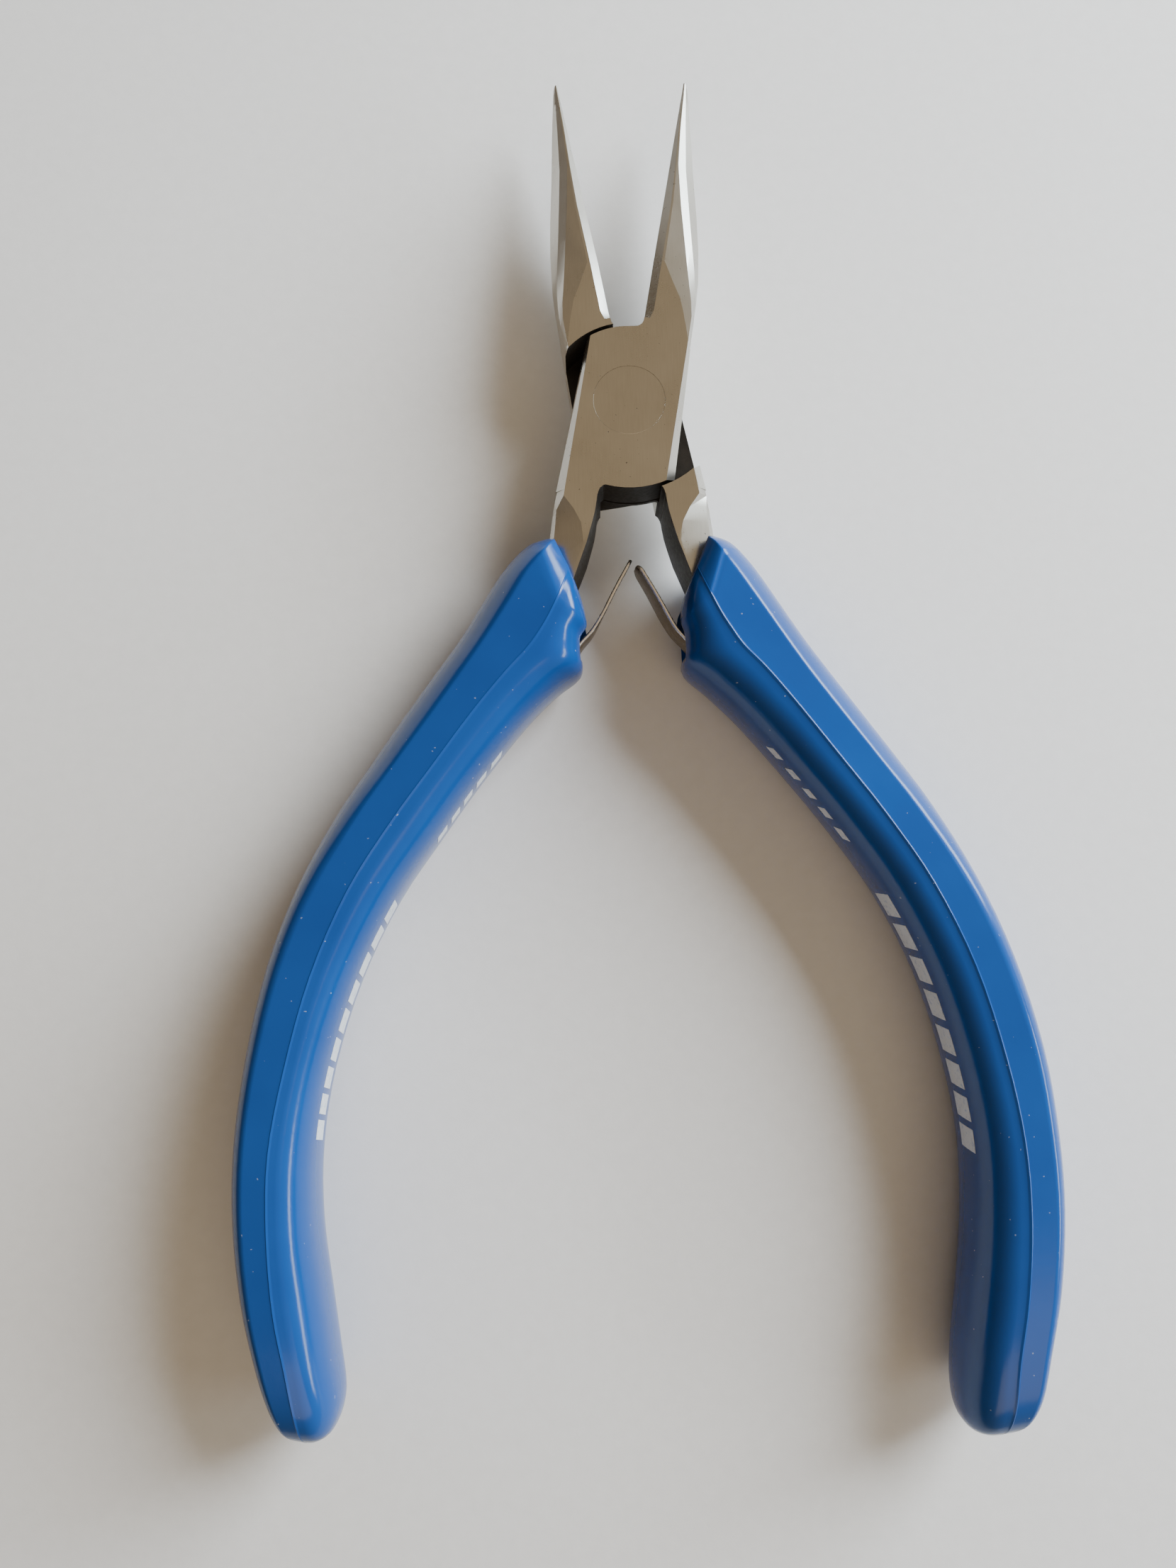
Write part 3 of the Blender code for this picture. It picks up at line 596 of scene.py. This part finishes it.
def leaf_spring(which, materials):
    """One bent strip from its riveted foot to its free tip.

    The materials are those of its two long edges, ground bright and painted lighter still as a painted
    highlight, and of its faces.
    """
    side = SIDES[which]
    path = [list(point) for point in LEAF_PATH]
    last = Vector(path[-1]) - Vector(path[-2])
    if which == "front":
        path[-1] = list(Vector(path[-1]) + last.normalized() * FRONT_LEAF_EXTRA)
    points = smooth_rows(path, LEAF_STEPS)
    steps = np.linalg.norm(np.diff(points, axis=0), axis=1)
    lengths = np.concatenate([[0.0], np.cumsum(steps)])
    root = lengths[np.argmin(np.linalg.norm(points - np.array(LEAF_ROOT), axis=1))]
    rings = []
    for i, point in enumerate(points):
        ahead, behind = points[min(i + 1, len(points) - 1)], points[max(i - 1, 0)]
        along = (ahead - behind) / np.linalg.norm(ahead - behind)
        free = max(0.0, (lengths[i] - root) / (lengths[-1] - root))
        half_width = LEAF_ROOT_HALF_WIDTH + (LEAF_TIP_HALF_WIDTH - LEAF_ROOT_HALF_WIDTH) * free
        to_end = min(lengths[-1] - lengths[i], lengths[i])
        half_width -= LEAF_END_NARROWING * max(0.0, 1.0 - to_end / LEAF_END_LENGTH) ** 2
        lean = LEAF_LEAN * min(1.0, 2.0 * free)
        rings.append(leaf_ring(point, (along[1], -along[0]), half_width, lean))
    leaf = loft(side + "_leaf_spring", rings, HALF_FRAMES[which], materials)
    for face in leaf.data.polygons:
        # faces on the long edges take the lighter steel: a painted highlight
        on_edge = abs(face.normal.z) > 0.2
        face.material_index = 0 if on_edge else 1
    shade(leaf, 40.0)
    direction = Vector(LEAF_PATH[6]) - Vector(LEAF_PATH[4])
    direction = direction.normalized() * LEAF_BEND_REACH
    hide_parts(side + "_spring_foot", side + "_spring_blade")
    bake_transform(leaf)


# ---------------------------------------------------------------- grips

def sleeve_section(crispness, facet):
    """Upper half of the section: (which stretch, place along it, fraction of the half thickness).

    Stretch 0 runs from the outer edge to the crease, 1 across the facet, 2 from the ridge to the inner edge.
    The facet slopes down from the ridge to the crease.
    """
    slope = SOFT_SLOPE + (FACET_SLOPE - SOFT_SLOPE) * crispness
    crease = facet - slope
    rows = []
    for t, crisp in OUTER_WALL:
        soft = CREASE_LEVEL * math.sqrt(1.0 - (1.0 - t) ** SOFT_FULLNESS)
        rows.append((0, t, (soft + (min(crisp, soft) - soft) * crispness) * crease / CREASE_LEVEL))
    rows += [(1, 0.0, crease), (1, 0.04, crease + 0.04 * slope), (1, 0.35, crease + 0.36 * slope)]
    rows += [(1, 0.65, crease + 0.67 * slope), (1, 0.93, facet - 0.05 * slope), (1, 0.965, facet)]
    rows += BEAD
    rows += [(2, t, WALL_TOP * (1.0 - t ** WALL_FULLNESS) ** (1.0 / WALL_FULLNESS)) for t in INNER_WALL]
    return rows


def sleeve_ring(row, depth):
    """One ring of a sleeve from its row of plan points and half thickness, and its facet's depth."""
    corners = [np.array(row[k:k + 2]) for k in (0, 2, 4, 6)]
    height = min(row[8], SLEEVE_HALF_THICKNESS)
    crispness = min(1.0, max(0.0, (row[1] - SOFT_FROM) / (CRISP_UNTIL - SOFT_FROM)))
    facet = 1.0 - depth / SLEEVE_HALF_THICKNESS
    upper = []
    for stretch, t, w in sleeve_section(crispness, facet):
        point = corners[stretch] + (corners[stretch + 1] - corners[stretch]) * t
        upper.append((float(point[0]), float(point[1]), w * height))
    lower = [(x, y, -z) for x, y, z in reversed(upper[1:-1])]
    return upper + lower


def sleeve_rings(side):
    """Rings of a sleeve from its mouth to its closed end, in the half's frame."""
    stations = [(*a, *b, *c, *d, height) for a, b, c, d, height in SLEEVES[side]]
    rows = smooth_rows(stations, RINGS_PER_STATION)
    last_rolled = (MOUTH_STATIONS - 1) * RINGS_PER_STATION
    step_row = rows[last_rolled] + (rows[last_rolled - 1] - rows[last_rolled]) * MOUTH_STEP
    rings = [sleeve_ring(row, MOUTH_DEPTH) for row in [*rows[:last_rolled], step_row]]
    rings += [sleeve_ring(row, FACET_DEPTH[side]) for row in rows[last_rolled:]]
    return rings


def tang_space(which):
    """The half's own solid, grown a little, to hollow the sleeve with."""
    builder = bmesh.new()
    builder.from_mesh(frame["nodes"][which + "_half"].data)
    bmesh.ops.remove_doubles(builder, verts=builder.verts, dist=MERGE_DISTANCE)
    builder.normal_update()
    grown = [vert.co + vert.normal * vert.calc_shell_factor() * TANG_CLEARANCE * MM for vert in builder.verts]
    for vert, place in zip(builder.verts, grown):
        vert.co = place
    return link_mesh("tang_space", builder, [])


def grip(which, material):
    """Moulded sleeve: recessed facet with a ridge, rolled mouth, pocket for the leaf, closed round end."""
    side = SIDES[which]
    sleeve = loft(side + "_sleeve", sleeve_rings(side), HALF_FRAMES[which], [material])
    cut(sleeve, tang_space(which))
    channel = [[(x, y, z) for x, y in CHANNEL_OUTLINE] for z in (-CHANNEL_HALF_HEIGHT, CHANNEL_HALF_HEIGHT)]
    cut(sleeve, loft("channel", channel, HALF_FRAMES[which], []))
    sleeve.data.materials.clear()
    sleeve.data.materials.append(material)
    shade(sleeve, SLEEVE_SHARP_ANGLE)
    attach(sleeve, which + "_half_body")
    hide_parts(side + "_grip")


def printed_bars(which, material):
    """Plain printed bars on a sleeve's inner wall, as thin closed patches set into it."""
    side = SIDES[which]
    rings = np.array(sleeve_rings(side))
    builder = bmesh.new()
    for start, end, slant, high, low in PRINTED_BARS[side]:
        grid = []
        for along in np.linspace(0.0, 1.0, BAR_ROWS):
            line = []
            for across in np.linspace(0.0, 1.0, BAR_COLUMNS):
                u = high + (low - high) * across
                v = start + (end - start) * along + slant * across
                a, b = int(v), int(u)
                ring = rings[a] + (rings[a + 1] - rings[a]) * (v - a)
                point = ring[b] + (ring[b + 1] - ring[b]) * (u - b)
                ahead = rings[a + 1][b] - rings[a][b]
                normal = np.cross(ring[b + 1] - ring[b], ahead)
                normal /= np.linalg.norm(normal)
                outward = normal if normal[0] > 0.0 else -normal
                line.append([HALF_FRAMES[which] @ Vector(point + outward * lift)
                             for lift in (INK_LIFT, -INK_ROOT)])
            grid.append(line)
        verts = [[[builder.verts.new(p) for p in pair] for pair in line] for line in grid]
        last_row, last_column = BAR_ROWS - 1, BAR_COLUMNS - 1
        for i in range(last_row):
            for j in range(last_column):
                for layer in (0, 1):
                    builder.faces.new((verts[i][j][layer], verts[i + 1][j][layer],
                                       verts[i + 1][j + 1][layer], verts[i][j + 1][layer]))
        border = [(i, 0) for i in range(BAR_ROWS)] + [(last_row, j) for j in range(1, BAR_COLUMNS)]
        border += [(i, last_column) for i in range(last_row - 1, -1, -1)]
        border += [(0, j) for j in range(last_column - 1, 0, -1)]
        for (i, j), (k, m) in zip(border, border[1:] + border[:1]):
            builder.faces.new((verts[i][j][0], verts[k][m][0], verts[k][m][1], verts[i][j][1]))
    ink = link_mesh(side + "_print", builder, [material])
    shade(ink, 40.0)
    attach(ink, which + "_half_body")


# ---------------------------------------------------------------- stage

def floor(material):
    """Plain pale surface under the tool."""
    builder = bmesh.new()
    bmesh.ops.create_grid(builder, x_segments=2, y_segments=2, size=FLOOR_HALF_SIZE)
    ground = link_mesh("floor", builder, [material])


def area_light(name, place, aim, size, power, colour, mirrored):
    """A soft rectangular light aimed at a point. It may be left out of reflections."""
    data = bpy.data.lights.new(name, 'AREA')
    data.shape = 'RECTANGLE'
    data.size, data.size_y = size
    data.energy = power
    data.color = colour
    light = bpy.data.objects.new(name, data)
    light.location = place
    light.visible_glossy = mirrored
    light.rotation_euler = (Vector(aim) - Vector(place)).to_track_quat('-Z', 'Y').to_euler()
    bpy.context.scene.collection.objects.link(light)


def room():
    """Surrounding light: warm overhead, darker to the left, lighter to the right."""
    world = bpy.data.worlds.new("room")
    bpy.context.scene.world = world
    world.use_nodes = True
    tree = world.node_tree
    direction = add_node(tree, "ShaderNodeTexCoord").outputs["Generated"]
    parts = add_node(tree, "ShaderNodeSeparateXYZ", {"Vector": direction})
    sideways = remap(tree, parts.outputs["X"], -0.7, 0.7, 0.0, 1.0)
    height = remap(tree, parts.outputs["Z"], 0.1, 0.85, 0.0, 1.0)
    low = mix_colour(tree, sideways, LOW_LEFT, LOW_RIGHT)
    high = mix_colour(tree, sideways, HIGH_LEFT, HIGH_RIGHT)
    background = tree.nodes["Background"]
    tree.links.new(mix_colour(tree, height, low, high), background.inputs["Color"])
    bounced = add_node(tree, "ShaderNodeLightPath").outputs["Is Diffuse Ray"]
    tree.links.new(remap(tree, bounced, 0.0, 1.0, ROOM_SEEN, ROOM_LIT), background.inputs["Strength"])


def camera():
    """Looks down from above the handles, tipped a little towards the jaws."""
    data = bpy.data.cameras.new("view")
    data.sensor_width = CAMERA_SENSOR
    data.lens = CAMERA_LENS
    data.clip_start = CAMERA_CLIP
    view = bpy.data.objects.new("view", data)
    view.location = (CAMERA_OFFSET[0], PIVOT.y + CAMERA_OFFSET[1], CAMERA_HEIGHT)
    view.rotation_euler = (math.radians(CAMERA_PITCH), 0.0, math.radians(CAMERA_ROLL))
    bpy.context.scene.collection.objects.link(view)
    bpy.context.scene.camera = view


# ---------------------------------------------------------------- build

def build():
    """Every piece, the floor, the lights and the camera."""
    steel = ground_steel("ground_steel", STEEL_COLOUR)
    oxide = black_oxide("black_oxide")
    rivet = ground_steel("rivet_face", RIVET_COLOUR)
    # the strip's edges: ground steel painted lighter as a painted highlight
    edge = spring_steel("ground_strip_edge_painted_highlight", *STRIP_EDGE_HIGHLIGHT_COLOURS)
    strip = spring_steel("tempered_strip", *STRIP_COLOURS)
    blue = moulded_blue("moulded_blue")
    white = print_white("print_white")
    for which in ("front", "rear"):
        steel_half(which, [steel, oxide])
        leaf_spring(which, [edge, strip])
        foot_rivet(which, rivet)
        grip(which, blue)
        printed_bars(which, white)
    pivot_rivet(rivet)
    floor(paper_floor("paper"))
    room()
    for light in LIGHTS:
        area_light(*light)
    camera()


build()
